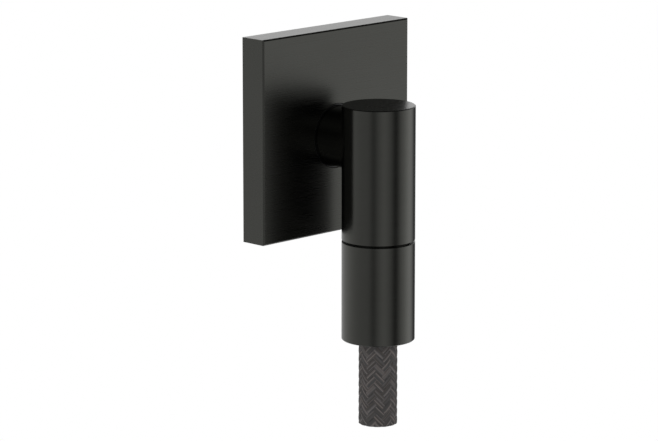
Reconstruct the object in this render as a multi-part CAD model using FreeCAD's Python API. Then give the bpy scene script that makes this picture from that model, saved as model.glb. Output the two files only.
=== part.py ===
import FreeCAD, Part
import math
import os

# Wall outlet elbow for a shower hose, in millimetres.
# The origin is where the wall thread's axis crosses the finished wall.
# +Y runs into the wall, -Y into the room, +Z up.

# Escutcheon: a square hollow plate that slides on the neck
PLATE_SIDE = 70.0
PLATE_DEPTH = 10.0
PLATE_RISE = 1.7
PLATE_BEVEL = 0.5
PLATE_FRONT = 2.5
PLATE_WALL = 2.2
PLATE_CORNER = 2.0
BOSS_WALL = 2.4
GASKET_WIDTH = 2.0
GASKET_THICK = 1.6
GASKET_PLAY = 0.1

# Slide ring between the plate's hole and the neck
RING_WALL = 0.3
RING_LIP = 1.0
RING_LIP_WIDTH = 1.9
RING_SET_BACK = 0.15
RING_BACK_GAP = 0.45

# Elbow body: a drilled bar with the neck joined to its side
TUBE_RADIUS = 12.5
TUBE_OFFSET = 29.6
TUBE_RISE = 13.0
TUBE_DROP = 33.25
NECK_RADIUS = 10.5
RIM_BEVEL = 0.25
SPIGOT_LENGTH = 12.5
WATERWAY_RADIUS = 6.3
WATERWAY_RISE = 5.5
DRILL_POINT_ANGLE = 118.0
CROSS_BORE_RADIUS = 5.0

# G1/2 pipe thread, shown plain at its outside diameter
THREAD_RADIUS = 20.955 / 2
THREAD_RELIEF = 1.2
THREAD_CHAMFER = 1.2

# Nipple that screws into the wall, with the neck pushed over its spigot
WALL_THREAD_LENGTH = 14.0
NIPPLE_BORE_RADIUS = 5.0
NIPPLE_FLANGE = 1.5
NIPPLE_FLANGE_LIP = 2.9
WALL_WASHER = 1.5
WALL_WASHER_SET_BACK = 0.4
NIPPLE_SPIGOT_RADIUS = 8.2
NIPPLE_LAND = 0.7
NIPPLE_EDGE = 0.4
NIPPLE_KEY = 10.0
NIPPLE_KEY_DEPTH = 8.0
SOCKET_PLAY = 0.3
SEAL_GROOVE_WIDTH = 1.9
SEAL_GROOVE_DEPTH = 1.2
SEAL_SIDES = 8

# Grub screw under the neck
SCREW_RADIUS = 2.0
SCREW_GROOVE_WIDTH = 4.2
SCREW_GROOVE_DEPTH = 1.0
SCREW_LENGTH = 3.0
SCREW_KEY = 2.0
SCREW_KEY_DEPTH = 1.6
SCREW_TIP_GAP = 0.05

# Check valve cartridge in the spigot
VALVE_RADIUS = 7.5
VALVE_LENGTH = 16.0
VALVE_WALL = 1.2
VALVE_MOUTH_RADIUS = 4.0
VALVE_MOUTH_LAND = 1.6
VALVE_SEAL_GROOVE = 0.9
VALVE_SEAL_GROOVE_WIDTH = 1.4
VALVE_SEAL_SET_BACK = 0.8
GUIDE_THICK = 2.5
GUIDE_ARM_WIDTH = 1.3
GUIDE_ARM_COUNT = 3
GUIDE_RIM = 0.8
GUIDE_HUB_RADIUS = 2.0
STEM_RADIUS = 1.0
STEM_OVERHANG = 1.4
POPPET_RING_RADIUS = 4.5
POPPET_RING_SECTION = 0.6
POPPET_LIP = 0.5
POPPET_DISC_RADIUS = 5.3
POPPET_DISC = 0.8
SPRING_RADIUS = 2.9
SPRING_WIRE = 0.35
SPRING_TURNS = 4
WIRE_SIDES = 6

# Hose end: washer, barbed tail, crimp sleeve, collar and bush
HOSE_WASHER = 2.0
HOSE_WASHER_PLAY = 1.0
HOSE_WASHER_BORE = 5.8
TAIL_FLANGE = 2.5
TAIL_FLANGE_PLAY = 0.8
TAIL_BORE_RADIUS = 3.2
TAIL_BARB_COUNT = 3
TAIL_BARB_DEPTH = 0.4
TAIL_BARE_END = 0.6
COLLAR_GAP = 0.5
COLLAR_LENGTH = 34.1
COLLAR_LEDGE = 3.0
COLLAR_WALL = 2.2
SLEEVE_WALL = 0.7
SLEEVE_LIP = 0.9
SLEEVE_CRIMP_COUNT = 2
SLEEVE_CRIMP_DEPTH = 0.3
SLEEVE_END_GAP = 0.6
BUSH_THICK = 3.2
BUSH_SET_BACK = 0.4

# Hose: a liner inside a woven metal jacket
HOSE_RADIUS = 6.6
HOSE_JACKET = 0.6
HOSE_BORE_RADIUS = 4.0
HOSE_STRETCH = 0.5
HOSE_SHOWN = 29.6
HOSE_TOP_GAP = 0.2

# Clearances
SLIP = 0.05
SEAL_SLIP = 0.02
SEAT_GAP = 0.04

# Places along the wall axis, worked out from the sizes above
washer_front_y = -WALL_WASHER
flange_front_y = washer_front_y - NIPPLE_FLANGE
screw_y = -(PLATE_DEPTH + TUBE_OFFSET - TUBE_RADIUS) / 2
groove_pitch = NIPPLE_LAND + SEAL_GROOVE_WIDTH
rear_seal_y = screw_y - SCREW_GROOVE_WIDTH / 2 - NIPPLE_LAND - SEAL_GROOVE_WIDTH / 2
front_seal_y = rear_seal_y - groove_pitch
nipple_end_y = front_seal_y - SEAL_GROOVE_WIDTH / 2 - NIPPLE_LAND - NIPPLE_EDGE
socket_radius = NIPPLE_SPIGOT_RADIUS + SLIP
socket_end_y = nipple_end_y - SOCKET_PLAY
ring_radius = NECK_RADIUS + SLIP + RING_WALL
plate_hole_radius = ring_radius + SLIP
nipple_flange_radius = NECK_RADIUS + NIPPLE_FLANGE_LIP
ring_back_y = flange_front_y - RING_BACK_GAP
boss_back_y = ring_back_y - RING_LIP - SLIP

# Places along the tube axis
shoulder_z = -TUBE_DROP
spigot_end_z = shoulder_z - SPIGOT_LENGTH
washer_low_z = spigot_end_z - HOSE_WASHER
flange_low_z = washer_low_z - TAIL_FLANGE
ledge_low_z = flange_low_z - COLLAR_LEDGE
collar_top_z = shoulder_z - COLLAR_GAP
collar_low_z = collar_top_z - COLLAR_LENGTH
bush_low_z = collar_low_z + BUSH_SET_BACK
bush_top_z = bush_low_z + BUSH_THICK
sleeve_low_z = bush_top_z + SLEEVE_END_GAP
tail_low_z = sleeve_low_z + TAIL_BARE_END
hose_top_z = flange_low_z - SLEEVE_LIP - HOSE_TOP_GAP
hose_low_z = collar_low_z - HOSE_SHOWN
valve_top_z = spigot_end_z + VALVE_LENGTH
guide_top_z = spigot_end_z + GUIDE_THICK
liner_radius = HOSE_RADIUS - HOSE_JACKET
stem_bore_radius = HOSE_BORE_RADIUS + HOSE_STRETCH
sleeve_bore_radius = HOSE_RADIUS + SLIP
sleeve_radius = sleeve_bore_radius + SLEEVE_WALL
ledge_bore_radius = sleeve_radius + 6 * SLIP
chamber_radius = TUBE_RADIUS - COLLAR_WALL
collar_bore_radius = THREAD_RADIUS + SLIP

WALL_AXIS = FreeCAD.Placement(FreeCAD.Vector(0, 0, 0), FreeCAD.Rotation(FreeCAD.Vector(1, 0, 0), -90))
TUBE_AXIS = FreeCAD.Placement(FreeCAD.Vector(0, -TUBE_OFFSET, 0), FreeCAD.Rotation())


def turned(profile, axis):
    """A turned solid: profile lists (radius, place along the axis) round its section."""
    points = [FreeCAD.Vector(radius, 0, along) for radius, along in profile]
    face = Part.Face(Part.makePolygon(points + points[:1]))
    solid = face.revolve(FreeCAD.Vector(0, 0, 0), FreeCAD.Vector(0, 0, 1), 360)
    solid.Placement = axis
    return solid


def bar(radius, start, end, axis):
    """A plain round bar from start to end along an axis."""
    low = min(start, end)
    solid = Part.makeCylinder(radius, abs(end - start), FreeCAD.Vector(0, 0, low))
    solid.Placement = axis
    return solid


def tube(inner, outer, low, high, axis):
    """A plain tube or washer."""
    return turned([(inner, low), (outer, low), (outer, high), (inner, high)], axis)


def round_section(radius, along, section, sides):
    """Corners of a small round section, centred at a radius and a place along the axis."""
    corners = []
    for side in range(sides):
        turn = 2 * math.pi * (side + 0.5) / sides
        corners.append((radius + section * math.cos(turn), along + section * math.sin(turn)))
    return corners


def o_ring(radius, section, along, axis):
    """A rubber ring, its round section slightly flattened where it is squeezed."""
    return turned(round_section(radius, along, section, SEAL_SIDES), axis)


def square_pad(side, corner, front_y, back_y):
    """A square slab centred on the plate, with its four corners rounded."""
    depth = back_y - front_y
    low = FreeCAD.Vector(-side / 2, front_y, PLATE_RISE - side / 2)
    slab = Part.makeBox(side, depth, side, low)
    edges = [edge for edge in slab.Edges if runs_along_y(edge)]
    return slab.makeFillet(corner, edges)


def runs_along_y(edge):
    """True for a straight edge parallel to the wall axis."""
    start, end = edge.Vertexes[0].Point, edge.Vertexes[-1].Point
    return abs(end.y - start.y) > 1e-6 and abs(end.x - start.x) < 1e-6 and abs(end.z - start.z) < 1e-6


def hex_key(across, start, end, axis):
    """The space that a hexagon key takes."""
    corner = across / math.sqrt(3)
    points = []
    for step in range(6):
        turn = math.radians(60 * step)
        points.append(FreeCAD.Vector(corner * math.cos(turn), corner * math.sin(turn), start))
    face = Part.Face(Part.makePolygon(points + points[:1]))
    solid = face.extrude(FreeCAD.Vector(0, 0, end - start))
    solid.Placement = axis
    return solid


def escutcheon():
    """Square plate with a bevelled front, hollow behind, and a boss round its hole."""
    low = FreeCAD.Vector(-PLATE_SIDE / 2, -PLATE_DEPTH, PLATE_RISE - PLATE_SIDE / 2)
    block = Part.makeBox(PLATE_SIDE, PLATE_DEPTH, PLATE_SIDE, low)
    front = [edge for edge in block.Edges if abs(edge.CenterOfMass.y + PLATE_DEPTH) < 1e-6]
    block = block.makeChamfer(PLATE_BEVEL, front)
    seat_side = PLATE_SIDE - 2 * PLATE_WALL
    pocket_side = seat_side - 2 * GASKET_WIDTH
    seat = square_pad(seat_side, PLATE_CORNER, -GASKET_THICK, 0)
    pocket = square_pad(pocket_side, PLATE_CORNER, PLATE_FRONT - PLATE_DEPTH, 0)
    boss = bar(plate_hole_radius + BOSS_WALL, PLATE_FRONT - PLATE_DEPTH, boss_back_y, WALL_AXIS)
    hole = bar(plate_hole_radius, -PLATE_DEPTH, 0, WALL_AXIS)
    return block.cut(seat).cut(pocket).fuse(boss).cut(hole)


def escutcheon_gasket():
    """Soft frame in the plate's rear step that seals it to the wall."""
    outer_side = PLATE_SIDE - 2 * PLATE_WALL - 2 * GASKET_PLAY
    inner_side = PLATE_SIDE - 2 * PLATE_WALL - 2 * GASKET_WIDTH
    outer = square_pad(outer_side, PLATE_CORNER, -GASKET_THICK, 0)
    inner = square_pad(inner_side, PLATE_CORNER, -GASKET_THICK, 0)
    return outer.cut(inner)


def neck_slide_ring():
    """Thin bush in the plate's hole, with a lip behind the boss."""
    bore = NECK_RADIUS + SLIP
    lip = ring_radius + RING_LIP_WIDTH
    front = RING_SET_BACK - PLATE_DEPTH
    lip_front = ring_back_y - RING_LIP
    profile = [(bore, front), (ring_radius, front), (ring_radius, lip_front)]
    profile += [(lip, lip_front), (lip, ring_back_y), (bore, ring_back_y)]
    return turned(profile, WALL_AXIS)


def elbow_body():
    """Tube and neck in one piece, drilled from below and from the wall side."""
    profile = [(0, spigot_end_z), (THREAD_RADIUS - RIM_BEVEL, spigot_end_z)]
    profile += [(THREAD_RADIUS, spigot_end_z + RIM_BEVEL), (THREAD_RADIUS, shoulder_z)]
    profile += [(TUBE_RADIUS - RIM_BEVEL / 2, shoulder_z), (TUBE_RADIUS, shoulder_z + RIM_BEVEL / 2)]
    profile += [(TUBE_RADIUS, TUBE_RISE - RIM_BEVEL), (TUBE_RADIUS - RIM_BEVEL, TUBE_RISE), (0, TUBE_RISE)]
    body = turned(profile, TUBE_AXIS).fuse(bar(NECK_RADIUS, flange_front_y, -TUBE_OFFSET, WALL_AXIS))
    socket = [(0, flange_front_y), (socket_radius + NIPPLE_EDGE, flange_front_y)]
    socket += [(socket_radius, flange_front_y - NIPPLE_EDGE), (socket_radius, socket_end_y)]
    socket += [(CROSS_BORE_RADIUS, socket_end_y), (CROSS_BORE_RADIUS, -TUBE_OFFSET), (0, -TUBE_OFFSET)]
    point = WATERWAY_RADIUS / math.tan(math.radians(DRILL_POINT_ANGLE / 2))
    cartridge_radius = VALVE_RADIUS + SLIP
    waterway = [(0, spigot_end_z), (cartridge_radius, spigot_end_z), (cartridge_radius, valve_top_z)]
    waterway += [(WATERWAY_RADIUS, valve_top_z), (WATERWAY_RADIUS, WATERWAY_RISE)]
    waterway += [(0, WATERWAY_RISE + point)]
    body = body.cut(turned(socket, WALL_AXIS)).cut(turned(waterway, TUBE_AXIS))
    return body.cut(screw_hole())


def screw_axis():
    """Placement of the grub screw: under the neck, pointing down."""
    turn = FreeCAD.Rotation(FreeCAD.Vector(1, 0, 0), 180)
    return FreeCAD.Placement(FreeCAD.Vector(0, screw_y, 0), turn)


def screw_hole():
    """The tapped hole through the neck's lower wall."""
    return bar(SCREW_RADIUS + SLIP, NIPPLE_SPIGOT_RADIUS - SCREW_GROOVE_DEPTH, NECK_RADIUS + 1, screw_axis())


def set_screw():
    """Grub screw whose tip sits in the nipple's groove."""
    tip = NIPPLE_SPIGOT_RADIUS - SCREW_GROOVE_DEPTH + SCREW_TIP_GAP
    head = tip + SCREW_LENGTH
    profile = [(0, tip), (SCREW_RADIUS - SCREW_TIP_GAP * 8, tip), (SCREW_RADIUS, tip + SCREW_TIP_GAP * 8)]
    profile += [(SCREW_RADIUS, head), (0, head)]
    return turned(profile, screw_axis()).cut(hex_key(SCREW_KEY, head - SCREW_KEY_DEPTH, head, screw_axis()))


def wall_nipple():
    """Turned nipple: thread, relief, flange, then a spigot with a lock groove and two seal grooves."""
    thread_end = WALL_THREAD_LENGTH + THREAD_CHAMFER
    relief = THREAD_RADIUS - THREAD_RELIEF
    profile = [(NIPPLE_BORE_RADIUS, thread_end), (THREAD_RADIUS - THREAD_CHAMFER, thread_end)]
    profile += [(THREAD_RADIUS, WALL_THREAD_LENGTH), (THREAD_RADIUS, 0), (relief, 0), (relief, washer_front_y)]
    profile += [(nipple_flange_radius, washer_front_y), (nipple_flange_radius, flange_front_y)]
    profile += [(NIPPLE_SPIGOT_RADIUS, flange_front_y)]
    grooves = [(screw_y, SCREW_GROOVE_WIDTH, SCREW_GROOVE_DEPTH)]
    grooves += [(rear_seal_y, SEAL_GROOVE_WIDTH, SEAL_GROOVE_DEPTH)]
    grooves += [(front_seal_y, SEAL_GROOVE_WIDTH, SEAL_GROOVE_DEPTH)]
    for centre, width, depth in grooves:
        floor = NIPPLE_SPIGOT_RADIUS - depth
        profile += [(NIPPLE_SPIGOT_RADIUS, centre + width / 2), (floor, centre + width / 2)]
        profile += [(floor, centre - width / 2), (NIPPLE_SPIGOT_RADIUS, centre - width / 2)]
    profile += [(NIPPLE_SPIGOT_RADIUS, nipple_end_y + NIPPLE_EDGE)]
    profile += [(NIPPLE_SPIGOT_RADIUS - NIPPLE_EDGE, nipple_end_y), (NIPPLE_BORE_RADIUS, nipple_end_y)]
    key = hex_key(NIPPLE_KEY, nipple_end_y, nipple_end_y + NIPPLE_KEY_DEPTH, WALL_AXIS)
    return turned(profile, WALL_AXIS).cut(key)


def wall_washer():
    """Flat seal between the nipple's flange and the pipe in the wall."""
    relief = THREAD_RADIUS - THREAD_RELIEF
    return tube(relief + SLIP, nipple_flange_radius - WALL_WASHER_SET_BACK, washer_front_y, 0, WALL_AXIS)


def nipple_o_ring(along):
    """Rubber ring in one of the nipple's seal grooves, against the neck's socket."""
    floor = NIPPLE_SPIGOT_RADIUS - SEAL_GROOVE_DEPTH
    section = (socket_radius - floor) / 2 - SEAL_SLIP
    return o_ring((socket_radius + floor) / 2, section, along, WALL_AXIS)


def valve_seat_profile_z(radius):
    """Height of the conical seat at a radius: it widens downwards at 45 degrees."""
    return valve_top_z - VALVE_MOUTH_LAND - (radius - VALVE_MOUTH_RADIUS)


def valve_housing():
    """Plastic shell of the check valve, with a conical seat and a groove for its seal."""
    chamber = VALVE_RADIUS - VALVE_WALL
    seal_top = valve_top_z - VALVE_SEAL_SET_BACK
    seal_low = seal_top - VALVE_SEAL_GROOVE_WIDTH
    floor = VALVE_RADIUS - VALVE_SEAL_GROOVE
    profile = [(chamber, spigot_end_z), (VALVE_RADIUS, spigot_end_z), (VALVE_RADIUS, seal_low)]
    profile += [(floor, seal_low), (floor, seal_top), (VALVE_RADIUS, seal_top), (VALVE_RADIUS, valve_top_z)]
    profile += [(VALVE_MOUTH_RADIUS, valve_top_z), (VALVE_MOUTH_RADIUS, valve_seat_profile_z(VALVE_MOUTH_RADIUS))]
    profile += [(chamber, valve_seat_profile_z(chamber))]
    return turned(profile, TUBE_AXIS)


def valve_o_ring():
    """Rubber ring between the valve housing and the spigot's bore."""
    floor = VALVE_RADIUS - VALVE_SEAL_GROOVE
    bore = VALVE_RADIUS + SLIP
    along = valve_top_z - VALVE_SEAL_SET_BACK - VALVE_SEAL_GROOVE_WIDTH / 2
    return o_ring((bore + floor) / 2, (bore - floor) / 2 - SEAL_SLIP, along, TUBE_AXIS)


def valve_guide():
    """Cage pressed into the housing's lower end: a rim, arms and a hub that guides the stem."""
    outer = VALVE_RADIUS - VALVE_WALL - SLIP
    rim = tube(outer - GUIDE_RIM, outer, spigot_end_z, guide_top_z, TUBE_AXIS)
    cage = rim.fuse(bar(GUIDE_HUB_RADIUS, spigot_end_z, guide_top_z, TUBE_AXIS))
    for arm in range(GUIDE_ARM_COUNT):
        low = FreeCAD.Vector(0, -GUIDE_ARM_WIDTH / 2, spigot_end_z)
        web = Part.makeBox(outer - GUIDE_RIM / 2, GUIDE_ARM_WIDTH, GUIDE_THICK, low)
        web.rotate(FreeCAD.Vector(0, 0, 0), FreeCAD.Vector(0, 0, 1), 360 / GUIDE_ARM_COUNT * arm)
        web.translate(TUBE_AXIS.Base)
        cage = cage.fuse(web)
    return cage.cut(bar(STEM_RADIUS + SLIP, spigot_end_z, guide_top_z, TUBE_AXIS)).removeSplitter()


def poppet_ring_z():
    """Height of the poppet's ring when it closes on the conical seat."""
    drop = (POPPET_RING_SECTION + SEAT_GAP) * math.sqrt(2)
    return valve_seat_profile_z(POPPET_RING_RADIUS) - drop


def poppet_disc_low_z():
    """Underside of the poppet's disc when the valve is shut."""
    return poppet_ring_z() - POPPET_RING_SECTION - SEAL_SLIP - POPPET_DISC


def valve_poppet():
    """Mushroom that slides in the guide, with a groove for its rubber ring."""
    floor = POPPET_RING_RADIUS - POPPET_RING_SECTION - SEAL_SLIP
    top = poppet_ring_z() + POPPET_RING_SECTION + SEAL_SLIP
    disc_top = poppet_ring_z() - POPPET_RING_SECTION - SEAL_SLIP
    low = poppet_disc_low_z()
    stem_low = spigot_end_z + GUIDE_THICK - STEM_OVERHANG
    profile = [(0, stem_low), (STEM_RADIUS, stem_low), (STEM_RADIUS, low), (POPPET_DISC_RADIUS, low)]
    profile += [(POPPET_DISC_RADIUS, disc_top), (floor, disc_top), (floor, top)]
    profile += [(floor - POPPET_LIP, top + POPPET_LIP), (0, top + POPPET_LIP)]
    return turned(profile, TUBE_AXIS)


def valve_poppet_ring():
    """Rubber ring that shuts against the seat."""
    return o_ring(POPPET_RING_RADIUS, POPPET_RING_SECTION, poppet_ring_z(), TUBE_AXIS)


def valve_spring():
    """Steel spring that holds the poppet shut."""
    low = guide_top_z + SPRING_WIRE + SEAL_SLIP
    high = poppet_disc_low_z() - SPRING_WIRE - SEAL_SLIP
    helix = Part.makeHelix((high - low) / SPRING_TURNS, high - low, SPRING_RADIUS)
    wire = Part.Wire(helix.Edges)
    corners = round_section(SPRING_RADIUS, 0, SPRING_WIRE, WIRE_SIDES)
    section = Part.makePolygon([FreeCAD.Vector(radius, 0, height) for radius, height in corners + corners[:1]])
    coil = wire.makePipeShell([section], True, True)
    coil.translate(FreeCAD.Vector(0, -TUBE_OFFSET, low))
    return coil


def hose_washer():
    """Flat rubber washer under the spigot, which also keeps the valve in."""
    outer = collar_bore_radius - HOSE_WASHER_PLAY
    return tube(HOSE_WASHER_BORE, outer, washer_low_z, spigot_end_z, TUBE_AXIS)


def hose_tail():
    """Flanged insert whose barbed stem holds the hose's liner."""
    stem = stem_bore_radius - SLIP
    flange = collar_bore_radius - TAIL_FLANGE_PLAY
    neck_z = hose_top_z
    barb = (neck_z - tail_low_z) / TAIL_BARB_COUNT
    profile = [(TAIL_BORE_RADIUS, washer_low_z), (flange, washer_low_z)]
    profile += [(flange, flange_low_z), (stem, flange_low_z)]
    for step in range(TAIL_BARB_COUNT):
        start = neck_z - barb * step
        profile += [(stem, start), (stem - TAIL_BARB_DEPTH, start - barb)]
    profile += [(TAIL_BORE_RADIUS, tail_low_z)]
    return turned(profile, TUBE_AXIS)


def hose_ferrule():
    """Crimp sleeve over the hose end, pressed in at a few rings, with a lip under the flange."""
    lip_low = flange_low_z - SLEEVE_LIP
    pitch = (lip_low - sleeve_low_z) / (SLEEVE_CRIMP_COUNT * 2 + 1)
    floor = sleeve_radius - SLEEVE_CRIMP_DEPTH
    profile = [(stem_bore_radius, flange_low_z), (stem_bore_radius, lip_low), (sleeve_bore_radius, lip_low)]
    profile += [(sleeve_bore_radius, sleeve_low_z), (sleeve_radius, sleeve_low_z)]
    for step in range(SLEEVE_CRIMP_COUNT):
        start = sleeve_low_z + pitch * (2 * step + 1)
        profile += [(sleeve_radius, start), (floor, start + pitch / 4)]
        profile += [(floor, start + pitch * 3 / 4), (sleeve_radius, start + pitch)]
    profile += [(sleeve_radius, flange_low_z)]
    return turned(profile, TUBE_AXIS)


def hose_liner():
    """Smooth hose that carries the water, stretched over the tail's stem."""
    step_z = tail_low_z - SLIP
    profile = [(stem_bore_radius, hose_top_z), (liner_radius, hose_top_z), (liner_radius, hose_low_z)]
    profile += [(HOSE_BORE_RADIUS, hose_low_z), (HOSE_BORE_RADIUS, step_z - HOSE_STRETCH)]
    profile += [(stem_bore_radius, step_z)]
    return turned(profile, TUBE_AXIS)


def hose_jacket():
    """Woven metal sleeve round the liner."""
    return tube(liner_radius, HOSE_RADIUS, hose_low_z, hose_top_z, TUBE_AXIS)


def hose_collar():
    """Sleeve nut in line with the tube: thread, ledge for the tail's flange, chamber for the crimp."""
    bore = collar_bore_radius
    edge = RIM_BEVEL / 2
    profile = [(bore, collar_top_z), (TUBE_RADIUS - edge, collar_top_z), (TUBE_RADIUS, collar_top_z - edge)]
    profile += [(TUBE_RADIUS, collar_low_z + RIM_BEVEL), (TUBE_RADIUS - RIM_BEVEL, collar_low_z)]
    profile += [(chamber_radius, collar_low_z), (chamber_radius, ledge_low_z), (ledge_bore_radius, ledge_low_z)]
    profile += [(ledge_bore_radius, flange_low_z), (bore, flange_low_z)]
    return turned(profile, TUBE_AXIS)


def collar_bush():
    """Plastic ring that closes the collar round the hose."""
    bore = HOSE_RADIUS + 3 * SLIP
    outer = chamber_radius - SLIP
    edge = BUSH_SET_BACK
    profile = [(bore, bush_top_z), (outer, bush_top_z), (outer, bush_low_z)]
    profile += [(bore + edge, bush_low_z), (bore, bush_low_z + edge)]
    return turned(profile, TUBE_AXIS)


PIECES = {
    "escutcheon": escutcheon,
    "escutcheon_gasket": escutcheon_gasket,
    "neck_slide_ring": neck_slide_ring,
    "elbow_body": elbow_body,
    "set_screw": set_screw,
    "wall_nipple": wall_nipple,
    "wall_washer": wall_washer,
    "nipple_o_ring_rear": lambda: nipple_o_ring(rear_seal_y),
    "nipple_o_ring_front": lambda: nipple_o_ring(front_seal_y),
    "valve_housing": valve_housing,
    "valve_o_ring": valve_o_ring,
    "valve_guide": valve_guide,
    "valve_poppet": valve_poppet,
    "valve_poppet_ring": valve_poppet_ring,
    "valve_spring": valve_spring,
    "hose_washer": hose_washer,
    "hose_tail": hose_tail,
    "hose_ferrule": hose_ferrule,
    "hose_liner": hose_liner,
    "hose_jacket": hose_jacket,
    "hose_collar": hose_collar,
    "collar_bush": collar_bush,
}

os.makedirs("parts", exist_ok=True)
for name, make in PIECES.items():
    shape = make()
    print(name, len(shape.Solids), round(shape.Volume, 1), shape.isValid())
    shape.exportStep("parts/" + name + ".step")
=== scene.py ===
import bmesh
import bpy
import math
from mathutils import Matrix, Vector


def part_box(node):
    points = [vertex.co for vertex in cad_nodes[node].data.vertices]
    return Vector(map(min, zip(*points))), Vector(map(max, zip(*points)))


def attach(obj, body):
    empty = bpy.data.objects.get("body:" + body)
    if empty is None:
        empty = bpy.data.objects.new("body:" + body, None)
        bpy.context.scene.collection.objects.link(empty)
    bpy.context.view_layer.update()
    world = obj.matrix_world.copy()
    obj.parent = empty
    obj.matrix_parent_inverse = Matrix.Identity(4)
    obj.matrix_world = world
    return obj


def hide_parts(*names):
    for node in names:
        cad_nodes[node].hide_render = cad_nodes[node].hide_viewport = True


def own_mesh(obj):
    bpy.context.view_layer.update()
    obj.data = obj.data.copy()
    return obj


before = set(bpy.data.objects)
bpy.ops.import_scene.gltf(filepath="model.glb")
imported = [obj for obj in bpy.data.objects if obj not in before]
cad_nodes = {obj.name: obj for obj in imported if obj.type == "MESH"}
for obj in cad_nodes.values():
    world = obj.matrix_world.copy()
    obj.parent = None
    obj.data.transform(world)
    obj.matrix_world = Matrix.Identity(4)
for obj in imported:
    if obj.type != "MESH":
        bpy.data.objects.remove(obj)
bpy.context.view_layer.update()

# Wall nipple
# The brass nipple that screws into the pipe in the wall. It is turned from bar, its G1/2 thread is cut
# on the lathe, and its polished front end, with two seal grooves, goes up inside the neck.
MM = 0.001
WALL_AXIS = Matrix.Rotation(math.radians(-90), 4, "X")
THREAD_PITCH = 1.814
THREAD_CREST = 10.4775
THREAD_DEPTH = 1.162
THREAD_FLAT = 0.16
THREAD_END = 15.2
THREAD_CHAMFER = 1.2
THREAD_RUN_IN = 0.9
THREAD_STEPS = 72
THREAD_START = 0.02
FOOT_PROUD = 0.05
FOOT_SUNK = 0.4
TOUCH = 1e-6
SHARP_ANGLE = math.radians(28)
BRASS = (0.72, 0.52, 0.25, 1)
BRASS_DARK = (0.45, 0.29, 0.12, 1)


class Wire:
    """One value inside a finish, which can be used like a number."""

    def __init__(self, nodes, socket):
        self.nodes = nodes
        self.socket = socket

    def maths(self, operation, *values):
        return self.nodes.add("Math", {"operation": operation}, dict(enumerate((self,) + values)))

    def __add__(self, other):
        return self.maths("ADD", other)

    def __sub__(self, other):
        return self.maths("SUBTRACT", other)

    def __rsub__(self, other):
        return self * -1 + other

    def __mul__(self, other):
        return self.maths("MULTIPLY", other)

    def __truediv__(self, other):
        return self.maths("DIVIDE", other)

    __radd__ = __add__
    __rmul__ = __mul__


class Nodes:
    """A node tree that is built by calls."""

    def __init__(self, tree):
        self.tree = tree

    def add(self, kind, settings, values, result=0):
        """A new node of a kind, with its settings first and then the values or wires of its sockets."""
        node = self.tree.nodes.new("ShaderNode" + kind)
        for name, value in settings.items():
            if name == "stops":
                ramp = node.color_ramp
                while len(ramp.elements) < len(value):
                    ramp.elements.new(0.5)
                for element, (place, colour) in zip(ramp.elements, value):
                    element.position = place
                    element.color = colour
            else:
                setattr(node, name, value)
        for name, value in values.items():
            self.plug(node.inputs[name], value)
        return Wire(self, node.outputs[result])

    def plug(self, socket, value):
        if isinstance(value, Wire):
            self.tree.links.new(value.socket, socket)
        else:
            socket.default_value = value

    def place(self, scale):
        """A point on the piece, stretched by a scale along each axis, in units per metre."""
        point = self.add("TexCoord", {}, {}, "Object")
        return self.add("VectorMath", {"operation": "MULTIPLY"}, {0: point, 1: scale})

    def noise(self, scale, detail=3.0, roughness=0.5):
        """Soft random value from 0 to 1 with a scale along each axis."""
        values = {"Vector": self.place(scale), "Scale": 1.0, "Detail": detail, "Roughness": roughness}
        return self.add("TexNoise", {}, values)

    def ramp(self, value, *stops):
        """A colour that changes with a value."""
        return self.add("ValToRGB", {"stops": stops}, {"Fac": value})


class Finish(Nodes):
    """A procedural material with one main shader. Its constants are set on the shader's sockets."""

    def __init__(self, name, constants):
        self.material = bpy.data.materials.new(name)
        self.material.use_nodes = True
        super().__init__(self.material.node_tree)
        self.shader = self.tree.nodes["Principled BSDF"]
        for socket, value in constants.items():
            self.shader.inputs[socket].default_value = value

    def feed(self, values):
        """Links what varies over the surface to the shader."""
        for socket, value in values.items():
            self.plug(self.shader.inputs[socket], value)

    def relief(self, height, depth):
        """Raises the surface by a height from 0 to 1 times a depth in metres."""
        normal = self.add("Bump", {}, {"Strength": 1.0, "Distance": depth, "Height": height}, "Normal")
        self.feed({"Normal": normal})


def turned(profile, axis, steps=160):
    """A turned solid. Its profile is a loop of (radius, place along the axis) in millimetres."""
    made = bmesh.new()
    corners = [made.verts.new((radius * MM, 0, along * MM)) for radius, along in profile]
    pairs = list(zip(corners, corners[1:]))
    if profile[0][0] > 0:
        pairs.append((corners[-1], corners[0]))
    edges = [made.edges.new(pair) for pair in pairs]
    bmesh.ops.spin(made, geom=corners + edges, cent=(0, 0, 0), axis=(0, 0, 1), dvec=(0, 0, 0),
                   angle=2 * math.pi, steps=steps, use_merge=True, use_duplicate=False)
    bmesh.ops.remove_doubles(made, verts=made.verts, dist=1e-7)
    bmesh.ops.recalc_face_normals(made, faces=made.faces)
    bmesh.ops.transform(made, matrix=axis, verts=made.verts)
    return made


def piece(name, made, finish):
    """Turns a modelled mesh into an object with smooth curves and sharp edges."""
    mesh = bpy.data.meshes.new(name)
    made.to_mesh(mesh)
    made.free()
    mesh.shade_smooth()
    mesh.set_sharp_from_angle(angle=SHARP_ANGLE)
    mesh.materials.append(finish.material)
    new = bpy.data.objects.new(name, mesh)
    bpy.context.scene.collection.objects.link(new)
    return new


def copied(node):
    """A copy of a node's mesh with its triangles joined up."""
    made = bmesh.new()
    made.from_mesh(cad_nodes[node].data)
    bmesh.ops.remove_doubles(made, verts=made.verts, dist=2e-6)
    return made


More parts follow.
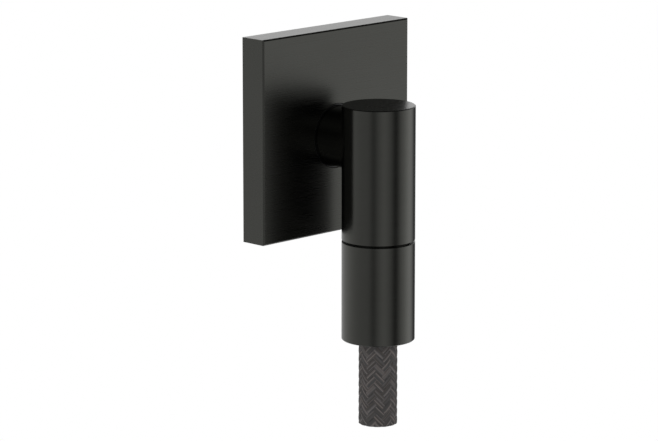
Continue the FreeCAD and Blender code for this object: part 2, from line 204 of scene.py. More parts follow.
def turned_metal(name, light, dark, gloss, scale):
    """Bare metal from the lathe: fine tool lines, with colour and gloss that wander a little."""
    finish = Finish(name, {"Metallic": 1.0})
    lines = finish.noise(scale, detail=4.0)
    clouds = finish.noise((220, 220, 220), detail=2.0)
    tint = finish.ramp(clouds * 0.6 + lines * 0.4, (0.3, dark), (0.62, light))
    finish.feed({"Base Color": tint, "Roughness": gloss + lines * 0.16 + clouds * 0.08})
    finish.relief(lines, 0.00001)
    return finish


def cropped(made, low, high):
    """Cuts away what lies below one height and above another, both in metres."""
    for height, keep in ((low, -1), (high, 1)):
        geom = made.verts[:] + made.edges[:] + made.faces[:]
        bmesh.ops.bisect_plane(made, geom=geom, plane_co=(0, 0, height), plane_no=(0, 0, keep),
                               clear_outer=True)
    return made


def thread_ring():
    """The helical thread as a closed sleeve: one pitch of the profile is wound along the axis."""
    root = THREAD_CREST - THREAD_DEPTH
    flank = THREAD_PITCH / 2 - THREAD_FLAT
    made = bmesh.new()
    section = [(root, 0), (root, THREAD_FLAT), (THREAD_CREST, flank)]
    section += [(THREAD_CREST, flank + 2 * THREAD_FLAT), (root, THREAD_PITCH - THREAD_FLAT)]
    section += [(root, THREAD_PITCH)]
    turns = math.ceil(THREAD_END / THREAD_PITCH) + 2
    corners = [made.verts.new((radius * MM, 0, (along - THREAD_PITCH) * MM)) for radius, along in section]
    edges = [made.edges.new(pair) for pair in zip(corners, corners[1:])]
    bmesh.ops.spin(made, geom=corners + edges, cent=(0, 0, 0), axis=(0, 0, 1),
                   dvec=(0, 0, THREAD_PITCH * MM / THREAD_STEPS), angle=2 * math.pi * turns,
                   steps=THREAD_STEPS * turns, use_merge=False, use_duplicate=False)
    bmesh.ops.remove_doubles(made, verts=made.verts, dist=1e-6)
    cropped(made, THREAD_START * MM, THREAD_END * MM)
    for vert in made.verts:
        along = vert.co.z / MM
        radius = math.hypot(vert.co.x, vert.co.y) / MM
        lead = THREAD_CREST - THREAD_CHAMFER + THREAD_END - along
        run_in = root + FOOT_PROUD + along * THREAD_DEPTH / THREAD_RUN_IN
        share = min(radius, lead, run_in) / radius
        vert.co.x *= share
        vert.co.y *= share
    ends = [edge for edge in made.edges if edge.is_boundary]
    wall = bmesh.ops.extrude_edge_only(made, edges=ends)["geom"]
    inner = [part for part in wall if isinstance(part, bmesh.types.BMVert)]
    for vert in inner:
        share = (root - FOOT_SUNK) * MM / math.hypot(vert.co.x, vert.co.y)
        vert.co.x *= share
        vert.co.y *= share
    bmesh.ops.bridge_loops(made, edges=[part for part in wall if isinstance(part, bmesh.types.BMEdge)])
    bmesh.ops.recalc_face_normals(made, faces=made.faces)
    bmesh.ops.transform(made, matrix=WALL_AXIS, verts=made.verts)
    return made


def with_parts(base, *others):
    """Puts other modelled solids into the same mesh."""
    for other in others:
        loose = bpy.data.meshes.new("loose")
        other.to_mesh(loose)
        other.free()
        base.from_mesh(loose)
        bpy.data.meshes.remove(loose)
    return base


nipple_core = copied("wall_nipple")
core_radius = THREAD_CREST - THREAD_DEPTH
for vert in nipple_core.verts:
    reach = math.hypot(vert.co.x, vert.co.z) / MM
    if vert.co.y > -TOUCH and reach > core_radius:
        vert.co.x *= core_radius / reach
        vert.co.z *= core_radius / reach
brass = turned_metal("turned brass", BRASS, BRASS_DARK, gloss=0.24, scale=(60, 5000, 60))
nipple = piece("wall_nipple_threaded", with_parts(nipple_core, thread_ring()), brass)
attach(nipple, "outlet")
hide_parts("wall_nipple")

# Wall washer
# A flat ring of pressed red fibre between the nipple's flange and the pipe. The fibres lie flat in
# the sheet that it is punched from, so its face is mottled and its edge shows thin layers.
FIBRE = (0.33, 0.075, 0.045, 1)
FIBRE_PALE = (0.5, 0.17, 0.11, 1)
WASHER_EDGE = 0.12

washer_low, washer_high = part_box("wall_washer")
washer_radii = [math.hypot(vert.co.x, vert.co.z) / MM for vert in cad_nodes["wall_washer"].data.vertices]
washer_bore, washer_outer = min(washer_radii), max(washer_radii)
washer_front, washer_back = washer_low.y / MM, washer_high.y / MM
washer_profile = [(washer_bore, washer_front + WASHER_EDGE), (washer_bore + WASHER_EDGE, washer_front)]
washer_profile += [(washer_outer - WASHER_EDGE, washer_front), (washer_outer, washer_front + WASHER_EDGE)]
washer_profile += [(washer_outer, washer_back - WASHER_EDGE), (washer_outer - WASHER_EDGE, washer_back)]
washer_profile += [(washer_bore + WASHER_EDGE, washer_back), (washer_bore, washer_back - WASHER_EDGE)]
fibre = Finish("pressed red fibre", {"Specular IOR Level": 0.3})
flecks = fibre.noise((900, 2600, 900), detail=5.0, roughness=0.65)
fibre.feed({"Base Color": fibre.ramp(flecks, (0.35, FIBRE), (0.7, FIBRE_PALE)),
            "Roughness": 0.7 + flecks * 0.2})
fibre.relief(flecks, 0.00006)
washer = piece("wall_fibre_washer", turned(washer_profile, WALL_AXIS), fibre)
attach(washer, "outlet")
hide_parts("wall_washer")

# Seal rings of the nipple
# Two black rubber O-rings in the nipple's grooves, which seal it in the neck. They are moulded, with
# a satin skin that grease leaves slightly uneven in gloss.
RUBBER = (0.012, 0.012, 0.012, 1)
RUBBER_GREY = (0.03, 0.03, 0.031, 1)


def dress(node, finish):
    """Gives a node of the frame its finish."""
    for place in cad_nodes[node].material_slots:
        place.material = finish.material


rubber = Finish("seal rubber", {"Specular IOR Level": 0.45})
grease = rubber.noise((500, 500, 500), detail=3.0)
pores = rubber.noise((4000, 4000, 4000), detail=2.0)
rubber.feed({"Base Color": rubber.ramp(grease, (0.35, RUBBER), (0.7, RUBBER_GREY)),
             "Roughness": 0.3 + grease * 0.35})
rubber.relief(pores, 0.00002)
dress("nipple_o_ring_rear", rubber)
dress("nipple_o_ring_front", rubber)

# Escutcheon gasket
# A square frame cut from closed-cell foam sheet, pressed into the step behind the plate. It seals the
# plate to the wall, and its cut faces show the small cells.
FOAM = (0.028, 0.028, 0.03, 1)
FOAM_CELL = (0.075, 0.075, 0.078, 1)

foam = Finish("closed-cell foam", {"Specular IOR Level": 0.2})
cells = foam.add("TexVoronoi", {"feature": "DISTANCE_TO_EDGE"},
                 {"Vector": foam.place((1, 1, 1)), "Scale": 2600.0})
foam_patches = foam.noise((260, 260, 260), detail=3.0)
foam.feed({"Base Color": foam.ramp(cells * 1.6 + foam_patches * 0.4, (0.15, FOAM_CELL), (0.75, FOAM)),
           "Roughness": 0.82 + foam_patches * 0.15})
foam.relief(cells, 0.0001)
dress("escutcheon_gasket", foam)

# Escutcheon
# The square cover plate, hollow behind, machined from brass. It is brushed in fine level lines and has
# a black metallic coating that follows them. The front edge is a narrow flat bevel.
PLATE_BEVEL = 0.5
PLATE_WALL = 2.2
PLATE_FRONT = 2.5
PLATE_CORNER = 2.0
GASKET_STEP = 1.6
GASKET_WIDTH = 2.0
BOSS_WALL = 2.4
BOSS_REAR = -4.5
HOLE_EDGE = 0.04
HOLE_GAP = 0.22
NECK_REAR = -4.0
RING_WALL = 0.4
SLIP = 0.05
OVERLAP = 1.0
COAT = (0.0635, 0.0641, 0.0585, 1)
COAT_WORN = (0.072, 0.0729, 0.067, 1)
PLATE_ROUGH = 0.23
PLATE_LINES = 0.0000014


def bar(radius, start, end, axis, steps=160):
    """A plain round bar between two places along an axis, in millimetres."""
    return turned([(0, start), (radius, start), (radius, end), (0, end)], axis, steps)


def block(low, high):
    """A plain block between two corners in metres."""
    made = bmesh.new()
    bmesh.ops.create_cube(made, size=1.0)
    size = high - low
    middle = (high + low) / 2
    matrix = Matrix.Translation(middle) @ Matrix.Diagonal((size.x, size.y, size.z, 1))
    bmesh.ops.transform(made, matrix=matrix, verts=made.verts)
    return made


def rounded(made, edges, width, segments):
    """Rounds some edges of a solid, or cuts a flat bevel where there is one segment."""
    bmesh.ops.bevel(made, geom=edges, offset=width * MM, offset_type="OFFSET", affect="EDGES",
                    segments=segments, profile=0.5, material=-1)
    return made


def combined(base, *steps):
    """A solid with others joined to it or cut from it, each step being (operation, solid)."""
    def stand_in(made):
        mesh = bpy.data.meshes.new("stand_in")
        made.to_mesh(mesh)
        made.free()
        new = bpy.data.objects.new("stand_in", mesh)
        bpy.context.scene.collection.objects.link(new)
        return new

    main = stand_in(base)
    tools = []
    for operation, other in steps:
        tool = stand_in(other)
        tools.append(tool)
        cut = main.modifiers.new("cut", "BOOLEAN")
        cut.operation = operation
        cut.solver = "EXACT"
        cut.object = tool
    result = bmesh.new()
    graph = bpy.context.evaluated_depsgraph_get()
    result.from_object(main, graph)
    for used in [main] + tools:
        mesh = used.data
        bpy.data.objects.remove(used)
        bpy.data.meshes.remove(mesh)
    bmesh.ops.remove_doubles(result, verts=result.verts, dist=2e-7)
    return result


def brushed_coat(name, gloss, depth, along, across):
    """The black coating on brushed metal, whose lines are drawn out where a scale is low."""
    finish = Finish(name, {"Metallic": 1.0})
    fine = finish.noise(across, detail=5.0, roughness=0.62)
    long_lines = finish.noise(along, detail=3.0)
    clouds = finish.noise((45, 45, 45), detail=2.0)
    wear = fine * 0.45 + long_lines * 0.35 + clouds * 0.2
    worn = finish.ramp(wear, (0.36, COAT), (0.66, COAT_WORN))
    finish.gloss = gloss + fine * 0.05 + long_lines * 0.05
    finish.feed({"Base Color": worn, "Roughness": finish.gloss})
    finish.relief(fine * 0.6 + long_lines * 0.4, depth)
    return finish


plate_low, plate_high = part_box("escutcheon")
plate = block(plate_low, plate_high)
front_edges = [edge for edge in plate.edges if all(vert.co.y < plate_low.y + TOUCH for vert in edge.verts)]
rounded(plate, front_edges, PLATE_BEVEL, segments=1)


def recess(inset, depth):
    """A square pocket with round corners, open to the back of the plate."""
    low = Vector((plate_low.x + inset * MM, plate_high.y - depth * MM, plate_low.z + inset * MM))
    high = Vector((plate_high.x - inset * MM, plate_high.y + OVERLAP * MM, plate_high.z - inset * MM))
    made = block(low, high)
    level = [edge for edge in made.edges if abs(edge.verts[0].co.y - edge.verts[1].co.y) > TOUCH]
    return rounded(made, level, PLATE_CORNER, segments=8)


ring_outer = max(math.hypot(vert.co.x, vert.co.z) for vert in cad_nodes["elbow_body"].data.vertices
                 if vert.co.y > NECK_REAR * MM) / MM + SLIP + RING_WALL
hole_radius = ring_outer + HOLE_GAP
boss_radius = hole_radius + BOSS_WALL
front_y = plate_low.y / MM
boss = bar(boss_radius, front_y + OVERLAP, BOSS_REAR, WALL_AXIS)
hole_profile = [(0, front_y - OVERLAP), (hole_radius + HOLE_EDGE, front_y - OVERLAP)]
hole_profile += [(hole_radius + HOLE_EDGE, front_y), (hole_radius, front_y + HOLE_EDGE)]
hole_profile += [(hole_radius, OVERLAP), (0, OVERLAP)]
hole = turned(hole_profile, WALL_AXIS, steps=192)
plate_depth = (plate_high.y - plate_low.y) / MM
plate = combined(plate, ("DIFFERENCE", recess(PLATE_WALL, GASKET_STEP)),
                 ("DIFFERENCE", recess(PLATE_WALL + GASKET_WIDTH, plate_depth - PLATE_FRONT)),
                 ("UNION", boss), ("DIFFERENCE", hole))
plate_coat = brushed_coat("brushed black plate", PLATE_ROUGH, PLATE_LINES,
                          along=(28, 2100, 2100), across=(45, 5600, 5600))
escutcheon = piece("escutcheon_plate", plate, plate_coat)
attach(escutcheon, "outlet")
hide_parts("escutcheon")

# Slide ring
# A thin moulded ring between the plate's hole and the neck. It keeps the plate from scratching the neck
# while the plate is pushed to the wall, and its lip behind the boss holds it in place.
RING_LIP = 1.0
RING_EDGE = 0.1
PLASTIC_BLACK = (0.004, 0.004, 0.004, 1)
PLASTIC_GREY = (0.008, 0.008, 0.008, 1)


def moulded(name, dark, light, gloss):
    """Moulded plastic: a fine even grain and slow changes of gloss where it flowed."""
    finish = Finish(name, {"Specular IOR Level": 0.5})
    flow = finish.noise((180, 180, 420), detail=3.0)
    grain = finish.noise((5200, 5200, 5200), detail=2.0)
    finish.feed({"Base Color": finish.ramp(flow * 0.7 + grain * 0.3, (0.35, dark), (0.65, light)),
                 "Roughness": gloss + flow * 0.12 + grain * 0.06})
    finish.relief(grain, 0.000015)
    return finish


ring_low, ring_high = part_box("neck_slide_ring")
ring_front, ring_back = ring_low.y / MM, ring_high.y / MM
ring_bore = ring_outer - RING_WALL
ring_lip = ring_high.x / MM
ring_profile = [(ring_bore, ring_front + RING_EDGE), (ring_bore + RING_EDGE, ring_front)]
ring_profile += [(ring_outer, ring_front), (ring_outer, ring_back - RING_LIP)]
ring_profile += [(ring_lip, ring_back - RING_LIP), (ring_lip, ring_back), (ring_bore, ring_back)]
ring_plastic = moulded("smooth black plastic", PLASTIC_BLACK, PLASTIC_GREY, gloss=0.07)
slide_ring = piece("neck_ring", turned(ring_profile, WALL_AXIS, steps=192), ring_plastic)
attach(slide_ring, "outlet")
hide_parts("neck_slide_ring")

# Elbow body
# The upright tube and its level neck, one brass piece that is drilled from below and from behind.
# It is brushed round the tube and coated like the plate, with a small flat bevel at both ends. Its top
# is faced on the lathe and a little less glossy.
RIM_BEVEL = 0.25
SPIGOT_RADIUS = 10.4775
CARTRIDGE_BORE = 7.55
CARTRIDGE_DEPTH = 16.0
WATERWAY_RADIUS = 6.3
WATERWAY_TOP = 5.5
DRILL_POINT = 3.785
SOCKET_RADIUS = 8.25
SOCKET_PLAY = 0.3
SOCKET_LEAD = 0.4
CROSS_BORE = 5.0
SCREW_HOLE = 2.05
COLLAR_GAP = 0.6
TUBE_ROUGH = 0.17
TUBE_LINES = 0.000015
TOP_ROUGHER = 0.045

body_low, body_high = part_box("elbow_body")
collar_low, collar_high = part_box("hose_collar")
tube_y = (collar_low.y + collar_high.y) / 2
tube_radius = (collar_high.x - collar_low.x) / 2 / MM
TUBE_AXIS = Matrix.Translation((0, tube_y, 0))
screw_low, screw_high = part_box("set_screw")
SCREW_AXIS = Matrix.Translation((0, (screw_low.y + screw_high.y) / 2, 0))
tube_top, spigot_end = body_high.z / MM, body_low.z / MM
neck_back = body_high.y / MM
neck_radius = ring_bore - SLIP
shoulder = collar_high.z / MM + COLLAR_GAP
middle_y = tube_y / MM

shell = [(0, spigot_end), (SPIGOT_RADIUS - RIM_BEVEL, spigot_end), (SPIGOT_RADIUS, spigot_end + RIM_BEVEL)]
shell += [(SPIGOT_RADIUS, shoulder), (tube_radius - RIM_BEVEL / 2, shoulder)]
shell += [(tube_radius, shoulder + RIM_BEVEL / 2), (tube_radius, tube_top - RIM_BEVEL)]
shell += [(tube_radius - RIM_BEVEL, tube_top), (0, tube_top)]
neck = bar(neck_radius, neck_back, middle_y, WALL_AXIS, steps=192)
socket_mouth = SOCKET_RADIUS + SOCKET_LEAD
socket_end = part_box("wall_nipple")[0].y / MM - SOCKET_PLAY
socket = [(0, neck_back + OVERLAP), (socket_mouth, neck_back + OVERLAP), (socket_mouth, neck_back)]
socket += [(SOCKET_RADIUS, neck_back - SOCKET_LEAD), (SOCKET_RADIUS, socket_end), (CROSS_BORE, socket_end)]
socket += [(CROSS_BORE, middle_y), (0, middle_y)]
cartridge_top = spigot_end + CARTRIDGE_DEPTH
waterway = [(0, spigot_end - OVERLAP), (CARTRIDGE_BORE, spigot_end - OVERLAP)]
waterway += [(CARTRIDGE_BORE, cartridge_top), (WATERWAY_RADIUS, cartridge_top)]
waterway += [(WATERWAY_RADIUS, WATERWAY_TOP), (0, WATERWAY_TOP + DRILL_POINT)]
screw_hole = bar(SCREW_HOLE, -neck_radius - OVERLAP, OVERLAP - SOCKET_RADIUS, SCREW_AXIS, steps=48)
body = combined(turned(shell, TUBE_AXIS, steps=256), ("UNION", neck),
                ("DIFFERENCE", turned(socket, WALL_AXIS)),
                ("DIFFERENCE", turned(waterway, TUBE_AXIS)),
                ("DIFFERENCE", screw_hole))
tube_coat = brushed_coat("brushed black tube", TUBE_ROUGH, TUBE_LINES,
                         along=(320, 320, 1250), across=(80, 80, 5200))
tube_height = tube_coat.add("SeparateXYZ", {}, {0: tube_coat.place((1, 1, 1))}, "Z")
faced = tube_height.maths("GREATER_THAN", (tube_top - RIM_BEVEL / 2) * MM)
tube_coat.feed({"Roughness": tube_coat.gloss + faced * TOP_ROUGHER})
elbow = piece("elbow_tube", body, tube_coat)
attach(elbow, "outlet")
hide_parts("elbow_body")

# Grub screw
# A stainless steel M4 screw with a hexagon socket, under the neck where it isn't seen. Its tip sits in
# the nipple's groove and locks the neck. The steel is plain, with faint turning marks.
STEEL = (0.5, 0.49, 0.47, 1)
STEEL_DARK = (0.3, 0.295, 0.285, 1)

steel = turned_metal("plain stainless steel", STEEL, STEEL_DARK, gloss=0.22, scale=(300, 300, 6000))
dress("set_screw", steel)

# Check valve shell and its seal
# The plastic cartridge in the spigot that stops water from running back. Its shell is moulded in
# off-white plastic with a conical seat, and one O-ring seals it in the bore.
VALVE_WHITE = (0.74, 0.73, 0.69, 1)
VALVE_SHADE = (0.62, 0.61, 0.57, 1)

valve_plastic = moulded("off-white moulded plastic", VALVE_SHADE, VALVE_WHITE, gloss=0.34)
dress("valve_housing", valve_plastic)
dress("valve_o_ring", rubber)

# Check valve guide and poppet
# The guide is a spoked cage in the shell's lower end, and the poppet is a mushroom whose stem slides in
# the cage's hub. Both are blue plastic, and the poppet carries a small rubber ring.
GUIDE_BLUE = (0.03, 0.13, 0.42, 1)
GUIDE_PALE = (0.045, 0.18, 0.5, 1)

guide_plastic = moulded("blue moulded plastic", GUIDE_BLUE, GUIDE_PALE, gloss=0.36)
dress("valve_guide", guide_plastic)
dress("valve_poppet", guide_plastic)
dress("valve_poppet_ring", rubber)

# Check valve spring
# A small coil of round spring wire between the guide and the poppet. It is the one part that shortens
# when the water lifts the poppet off its seat. The wire is drawn stainless steel and bright.
SPRING_MEAN = 2.9
SPRING_WIRE = 0.35
SPRING_TURNS = 4
WIRE_SIDES = 14
SPRING_STEPS = 40
SPRING_BRIGHT = (0.66, 0.65, 0.63, 1)
SPRING_SHADE = (0.45, 0.44, 0.42, 1)

spring_low, spring_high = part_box("valve_spring")
spring_start = spring_low.z / MM + SPRING_WIRE
spring_rise = (spring_high.z - spring_low.z) / MM - 2 * SPRING_WIRE
coil = bmesh.new()
bmesh.ops.create_circle(coil, cap_ends=True, segments=WIRE_SIDES, radius=SPRING_WIRE * MM)
wire_start = Matrix.Translation((SPRING_MEAN * MM, 0, spring_start * MM))
upright = Matrix.Rotation(math.radians(90), 4, "X")
bmesh.ops.transform(coil, matrix=wire_start @ upright, verts=coil.verts)
wire_face = coil.faces[:] + coil.edges[:] + coil.verts[:]
coil_steps = SPRING_STEPS * SPRING_TURNS
bmesh.ops.spin(coil, geom=wire_face, cent=(0, 0, 0), axis=(0, 0, 1),
               dvec=(0, 0, spring_rise * MM / coil_steps), angle=2 * math.pi * SPRING_TURNS,
               steps=coil_steps, use_merge=False, use_duplicate=False)
bmesh.ops.recalc_face_normals(coil, faces=coil.faces)
bmesh.ops.transform(coil, matrix=TUBE_AXIS, verts=coil.verts)
spring_steel = turned_metal("bright spring wire", SPRING_BRIGHT, SPRING_SHADE,
                            gloss=0.12, scale=(900, 900, 900))
spring = piece("valve_coil_spring", coil, spring_steel)
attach(spring, "outlet")
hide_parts("valve_spring")
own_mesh(spring)

# Hose liner
# The smooth black inner hose that carries the water, pushed over the tail's barbs. It is extruded
# rubber, and it shows as a dark ground between the strands of the woven sleeve.
liner_rubber = Finish("black hose liner", {"Specular IOR Level": 0.4})
drawn = liner_rubber.noise((1600, 1600, 60), detail=3.0)
dust = liner_rubber.noise((700, 700, 700), detail=4.0)
liner_grey = liner_rubber.ramp(drawn * 0.5 + dust * 0.5, (0.35, RUBBER), (0.7, RUBBER_GREY))
liner_rubber.feed({"Base Color": liner_grey, "Roughness": 0.45 + drawn * 0.2 + dust * 0.1})
liner_rubber.relief(drawn, 0.00002)
dress("hose_liner", liner_rubber)

# Hose tail
# The turned brass insert that holds the hose. Its barbed stem grips the liner, and its flange is drawn
# up against the washer by the collar.
tail_brass = turned_metal("turned brass tail", BRASS, BRASS_DARK, gloss=0.26, scale=(60, 60, 5000))
dress("hose_tail", tail_brass)

# Crimp sleeve
# A short stainless steel sleeve round the hose end, pressed in at two rings so that it grips both the
# woven sleeve and the liner. Its lip is held under the tail's flange.
dress("hose_ferrule", steel)

# Woven sleeve
# The hose's outer sleeve, braided from dark coated wire: fourteen flat strands each way, each strand
# six wires side by side, and each passing over two and under two. This gives upright columns of
# slanted strands that lean one way and the other by turns.
STRANDS = 14
STRAND_WIRES = 6
STRAND_LEAD = 41.4
STRAND_SPAN = 2.94
STRAND_MIDDLE = 6.38
STRAND_HALF = 0.14
STRAND_LIFT = 0.14
WIRE_VALLEY = 0.06
STRAND_CROWN = 0.18
STRAND_UNDER = 0.2
STRAND_STEPS = 130
STRAND_CREST = 2.2
BRAID_TURN = math.radians(15.5)
BRAID_START = 2.94
WIRE_EDGE = 0.01
WIRE_DRAW = 1364
WIRE_APART = 0.5
WIRE_REPEAT = 0.6
WIRE_SPREAD = 0.68
WIRE_LEVEL = -0.055
WIRE_TINT = (0.35, 0.35, 0.35, 1)
# The lightest stop, at 0.78, is partly the wires' own lighter colour and partly painted glints of the round
# wires.
WIRE_TONES_AND_GLINTS = ((0.0, (0.091, 0.085, 0.083, 1)), (0.35, (0.106, 0.101, 0.098, 1)),
              (0.52, (0.126, 0.116, 0.112, 1)), (0.78, (0.234, 0.207, 0.196, 1)))
WIRE_COOL = (0.9, 0.95, 1.0, 1)
WIRE_WARM = (0.98, 0.95, 0.92, 1)

jacket_low, jacket_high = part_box("hose_jacket")


def strand_section():
    """Section of one strand as (radius, height): a plain underside and a crowned row of round wires."""
    half = STRAND_SPAN / 2
    low = STRAND_MIDDLE - STRAND_UNDER
    points = [(low, half), (low, 0), (low, -half)]
    for step in range(2 * STRAND_WIRES + 1):
        along = step / STRAND_WIRES - 1
        rise = (STRAND_HALF if step % 2 else WIRE_VALLEY) - STRAND_CROWN * along ** 2
        points.append((STRAND_MIDDLE + rise, half * along))
    return points


def braid(hand):
    """All strands of one hand, wound up the hose, with each wire's number kept on its points."""
    made = bmesh.new()
    across = made.verts.layers.float.new("wire")
    rise = (jacket_high.z - jacket_low.z) / MM + BRAID_START + STRAND_SPAN
    points = []
    for radius, along in strand_section():
        point = made.verts.new((radius * MM, 0, along * MM))
        point[across] = min((along / STRAND_SPAN + 0.5) * STRAND_WIRES, STRAND_WIRES - WIRE_EDGE)
        points.append(point)
    edges = [made.edges.new(pair) for pair in zip(points, points[1:] + points[:1])]
    bmesh.ops.translate(made, vec=(0, 0, jacket_low.z - BRAID_START * MM), verts=points)
    bmesh.ops.spin(made, geom=points + edges, cent=(0, 0, 0), axis=(0, 0, 1),
                   dvec=(0, 0, rise * MM / STRAND_STEPS), angle=hand * 2 * math.pi * rise / STRAND_LEAD,
                   steps=STRAND_STEPS, use_merge=False, use_duplicate=False)
    first = made.verts[:] + made.edges[:] + made.faces[:]
    for number in range(1, STRANDS):
        copy = bmesh.ops.duplicate(made, geom=first)["geom"]
        corners = [part for part in copy if isinstance(part, bmesh.types.BMVert)]
        turn = Matrix.Rotation(2 * math.pi * number / STRANDS, 4, "Z")
        bmesh.ops.transform(made, matrix=turn, verts=corners)
        for vert in corners:
            vert[across] += number * STRAND_WIRES
    for vert in made.verts:
        aside = STRAND_SPAN * (vert[across] % STRAND_WIRES / STRAND_WIRES - 0.5)
        around = math.atan2(vert.co.y, vert.co.x) + hand * math.pi * aside / STRAND_LEAD
        crossing = math.sin(STRANDS / 2 * around + math.pi / 4)
        wave = math.tanh(STRAND_CREST * crossing) / math.tanh(STRAND_CREST)
        share = 1 - hand * wave * STRAND_LIFT * MM / math.hypot(vert.co.x, vert.co.y)
        vert.co.x *= share
        vert.co.y *= share
    cropped(made, jacket_low.z, jacket_high.z)
    bmesh.ops.holes_fill(made, edges=[edge for edge in made.edges if edge.is_boundary])
    bmesh.ops.recalc_face_normals(made, faces=made.faces)
    bmesh.ops.transform(made, matrix=TUBE_AXIS @ Matrix.Rotation(BRAID_TURN, 4, "Z"), verts=made.verts)
    return made


woven = Finish("dark woven wire with painted glints", {"Metallic": 0.25, "Specular IOR Level": 0.2, "Specular Tint": WIRE_TINT})
wire_place = woven.add("Attribute", {"attribute_name": "wire"}, {}, "Fac")
wire_number = wire_place.maths("FLOOR")


def drawn_by_lot(number):
    """A value from 0 to 1 that stays the same all along a wire."""
    return woven.add("TexWhiteNoise", {"noise_dimensions": "1D"}, {"W": number}, "Value")


# Wires that lie two apart seldom have the same lightness, and a part of the tones comes back in every
# second strand. The lightest tones are partly the wires' own lighter colour and partly painted glints.
# Some wires are a little cooler or warmer than others.
own = drawn_by_lot(wire_number) - drawn_by_lot(wire_number + 2) * WIRE_APART
repeated = drawn_by_lot(wire_number.maths("MODULO", 2 * STRAND_WIRES) + WIRE_DRAW) * WIRE_REPEAT
rubbed = woven.noise((240, 240, 240), detail=3.0)
# The lighter wires that this picks out carry painted glints as well as their own lighter colour.
tone_and_glint = (own + repeated) * WIRE_SPREAD + rubbed * 0.3 + WIRE_LEVEL
cast = woven.ramp(drawn_by_lot(wire_number + 2 * WIRE_DRAW), (0.0, WIRE_COOL), (1.0, WIRE_WARM))
colour = woven.add("VectorMath", {"operation": "MULTIPLY"}, {0: woven.ramp(tone_and_glint, *WIRE_TONES_AND_GLINTS), 1: cast})
woven.feed({"Base Color": colour, "Roughness": 0.5 + rubbed * 0.2})
for hand, name in ((1, "hose_braid_right"), (-1, "hose_braid_left")):
    strands = piece(name, braid(hand), woven)
    strands.data.shade_smooth()
    strands.data.attributes.remove(strands.data.attributes["sharp_edge"])
    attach(strands, "outlet")
    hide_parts("hose_jacket")

# Hose washer
# The flat rubber washer that the collar squeezes between the spigot and the tail's flange. It also
# keeps the check valve in its bore.
dress("hose_washer", rubber)

# Collar
# The sleeve nut in line with the tube, which draws the hose up against the spigot and hides its crimp.
# It is turned from brass, brushed round and coated like the tube, with a small bevel at each end.
COLLAR_BORE = 10.5275
COLLAR_SET_BACK = 0.06
COLLAR_LEDGE = 3.0
COLLAR_WALL = 2.2
LEDGE_BORE = 7.65
TAIL_FLANGE = 2.5

collar_top, collar_end = collar_high.z / MM - COLLAR_SET_BACK, collar_low.z / MM
flange_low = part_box("hose_tail")[1].z / MM - TAIL_FLANGE
chamber = tube_radius - COLLAR_WALL
ledge_low = flange_low - COLLAR_LEDGE
collar_profile = [(COLLAR_BORE, collar_top), (tube_radius - RIM_BEVEL / 2, collar_top)]
collar_profile += [(tube_radius, collar_top - RIM_BEVEL / 2), (tube_radius, collar_end + RIM_BEVEL)]
collar_profile += [(tube_radius - RIM_BEVEL, collar_end), (chamber, collar_end), (chamber, ledge_low)]
collar_profile += [(LEDGE_BORE, ledge_low), (LEDGE_BORE, flange_low), (COLLAR_BORE, flange_low)]
collar_coat = brushed_coat("brushed black collar", TUBE_ROUGH, TUBE_LINES,
                           along=(330, 330, 1200), across=(90, 90, 5000))
collar = piece("hose_sleeve_nut", turned(collar_profile, TUBE_AXIS, steps=256), collar_coat)
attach(collar, "outlet")
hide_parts("hose_collar")

# Collar bush
# The moulded ring that closes the collar's lower end round the hose and lets the hose turn. It is the
# same smooth black plastic as the slide ring.
BUSH_LEAD = 0.4
BUSH_PLAY = 0.15

bush_low, bush_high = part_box("collar_bush")
bush_bore = (jacket_high.x - jacket_low.x) / 2 / MM + BUSH_PLAY
bush_outer = chamber - SLIP
bush_end, bush_top = bush_low.z / MM, bush_high.z / MM
bush_profile = [(bush_bore, bush_top), (bush_outer, bush_top), (bush_outer, bush_end)]
bush_profile += [(bush_bore + BUSH_LEAD, bush_end), (bush_bore, bush_end + BUSH_LEAD)]
bush = piece("collar_end_bush", turned(bush_profile, TUBE_AXIS), ring_plastic)
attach(bush, "outlet")
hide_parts("collar_bush")

# Studio
# A pale paper disc lies far below the part, which hangs on its wall thread. Round it is a plain studio:
# the picture's ground is white, and the metal sees soft grey walls with lighter and darker strips.
FLOOR_DROP = 1.0
FLOOR_RADIUS = 1.4
PAPER = (0.85, 0.85, 0.85, 1)
PAPER_GLOW = 0.87
PAPER_MIRRORED = 0.3
WALL_LEVEL = 0.535
WALL_STRIPS = ((-61, 7.5, -0.3), (10, 9, -0.48), (80, 24, 1.45), (95, 17, -1.57), (124, 8, -0.2),
               (-159, 25, 0.36), (-28, 9.5, 0.21))
HORIZON = (-0.1, 0.18)
FRONT_DIM = 0.68
FRONT_DIM_END = (0.3, 0.45)
REAR_TURN = 150
REAR_EDGE = (0.2, 0.8)
REAR_LIFT = 0.69
CEILING_EDGE = (0.3, 0.56)
CEILING_DIM = 0.95
CAMERA_TURN = -45.19
CAMERA_SIDE_EDGE = (-0.45, 0.15)
CAMERA_SIDE_LIFT = 0.25
LAMP_PLACE = Vector((-0.75, -0.75, 0.1))
LAMP_POWER = 2.9
LAMP_SIZE = 0.7

paper = Finish("pale paper", {"Base Color": PAPER, "Roughness": 0.9, "Emission Strength": 1.0})
paper.feed({"Emission Color": paper.add("LightPath", {}, {}, "Is Camera Ray") * PAPER_GLOW
            + paper.add("LightPath", {}, {}, "Is Glossy Ray") * PAPER_MIRRORED})
disc = bmesh.new()
bmesh.ops.create_circle(disc, cap_ends=True, segments=64, radius=FLOOR_RADIUS)
bmesh.ops.translate(disc, vec=(0, 0, -FLOOR_DROP), verts=disc.verts)
piece("floor", disc, paper)


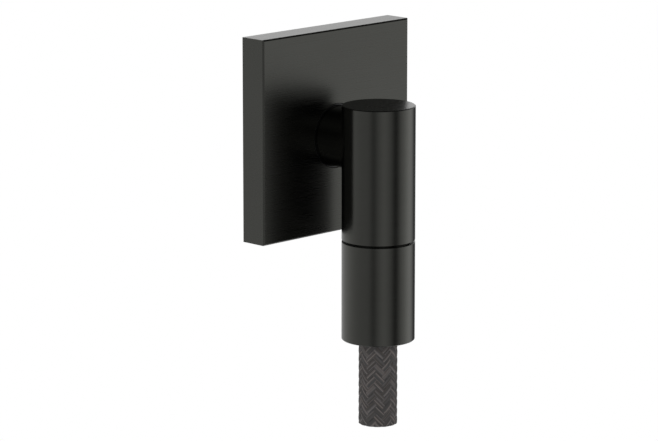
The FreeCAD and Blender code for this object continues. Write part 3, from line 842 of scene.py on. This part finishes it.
class Surround(Nodes):
    """The studio's walls, as a level of light that depends on the direction."""

    def towards(self, turn):
        """The cosine of the angle between a level direction and the one at a turn in degrees."""
        return (self.azimuth - math.radians(turn)).maths("COSINE")

    def step(self, value, low, high, rise=1.0):
        """A soft step from 0 up to a rise, as a value passes from low to high."""
        limits = {0: value, 1: low, 2: high, 3: 0.0, 4: rise}
        return self.add("MapRange", {"interpolation_type": "SMOOTHSTEP"}, limits)


world = bpy.data.worlds.new("studio")
world.use_nodes = True
bpy.context.scene.world = world
sky = Surround(world.node_tree)
direction = sky.add("TexCoord", {}, {}, "Generated")
east, north, up = (sky.add("SeparateXYZ", {}, {0: direction}, axis) for axis in range(3))
sky.azimuth = east.maths("ARCTAN2", north * -1)
walls = WALL_LEVEL
# Each strip is at a turn in degrees, fades out over a width in degrees and changes the level.
for centre, width, change in WALL_STRIPS:
    walls = ((sky.towards(centre) - 1) / math.radians(width) ** 2).maths("EXPONENT") * change + walls
height = sky.step(up, *HORIZON)
front = walls * (1 - (height - sky.step(up, *FRONT_DIM_END)) * FRONT_DIM)
rear = walls + height * REAR_LIFT
room = front + (rear - front) * sky.step(sky.towards(REAR_TURN), *REAR_EDGE)
facing = sky.step(sky.towards(CAMERA_TURN), *CAMERA_SIDE_EDGE, rise=CAMERA_SIDE_LIFT)
room = room * (1 - sky.step(up - facing, *CEILING_EDGE, rise=CEILING_DIM))
seen = sky.add("LightPath", {}, {}, "Is Camera Ray")
background = sky.tree.nodes["Background"]
background.inputs["Color"].default_value = (1, 1, 1, 1)
sky.plug(background.inputs["Strength"], room + seen * (1 - room))

lamp_light = bpy.data.lights.new("soft lamp", "AREA")
lamp_light.energy = LAMP_POWER
lamp_light.size = LAMP_SIZE
lamp = bpy.data.objects.new("soft lamp", lamp_light)
lamp.location = LAMP_PLACE
lamp.rotation_euler = LAMP_PLACE.to_track_quat("Z", "Y").to_euler()
lamp.visible_glossy = False
bpy.context.scene.collection.objects.link(lamp)

# Camera
# It looks at the part from the left and a little above, from about a metre away, with a long lens, so
# that the picture's frame, angle and perspective are those of the photograph.
CAMERA_RISE = 11.937
CAMERA_REACH = 1.2114
CAMERA_TARGET = Vector((0.00604, 0, -0.03206))
CAMERA_LENS = 191.39
CAMERA_SENSOR = 36
CAMERA_NEAR = 0.01

turned_round = Matrix.Rotation(math.radians(CAMERA_TURN), 3, "Z")
raised = Matrix.Rotation(-math.radians(CAMERA_RISE), 3, "X")
away = turned_round @ raised @ Vector((0, -1, 0))
camera_data = bpy.data.cameras.new("camera")
camera_data.lens = CAMERA_LENS
camera_data.sensor_width = CAMERA_SENSOR
camera_data.clip_start = CAMERA_NEAR
camera = bpy.data.objects.new("camera", camera_data)
camera.location = CAMERA_TARGET + away * CAMERA_REACH
camera.rotation_euler = away.to_track_quat("Z", "Y").to_euler()
bpy.context.scene.collection.objects.link(camera)
bpy.context.scene.camera = camera
bpy.context.scene.view_settings.view_transform = "Standard"
